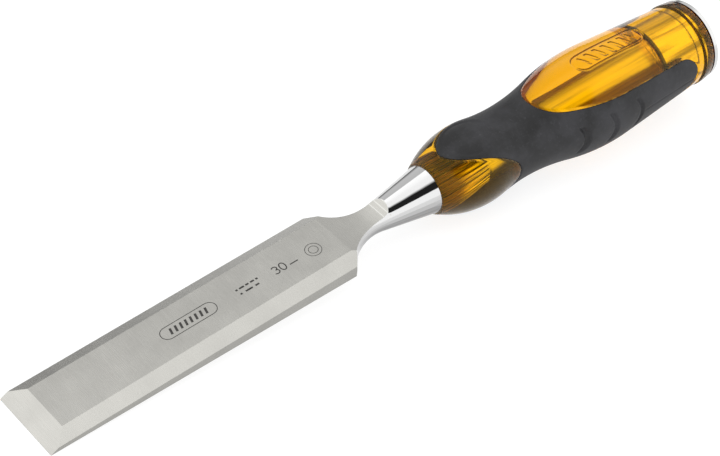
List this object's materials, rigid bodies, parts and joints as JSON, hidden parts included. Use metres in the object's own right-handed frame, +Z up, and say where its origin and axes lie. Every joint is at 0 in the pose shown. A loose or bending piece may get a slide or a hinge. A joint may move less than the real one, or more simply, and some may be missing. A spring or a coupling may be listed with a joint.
{
  "type": "bench chisel",
  "caption": "Bevel-edged bench chisel: flat steel blade, polished bolster, clear amber handle with a dark rubber grip and a domed steel striking cap.",
  "frame": {"origin": "on the bench the chisel lies on, under the middle of its box", "axes": "+X from the cutting edge towards the butt, +Y to the blade's left seen from the butt, +Z up; the tool rests on its cutting edge and on the handle's belly, so its back slopes up 3.64 degrees towards the butt"},
  "size_m": [0.3007, 0.0382, 0.0387],
  "materials": {
    "ground_steel": "satin, ground across",
    "amber_plastic": "clear, polished",
    "grip_rubber": "fine matte texture",
    "polished_steel": "mirror polished"
  },
  "bodies": {
    "root": {"blade_forging": "ground_steel", "handle_core": "amber_plastic", "rubber_grip": "grip_rubber", "strike_cap": "polished_steel"}
  },
  "joints": []
}
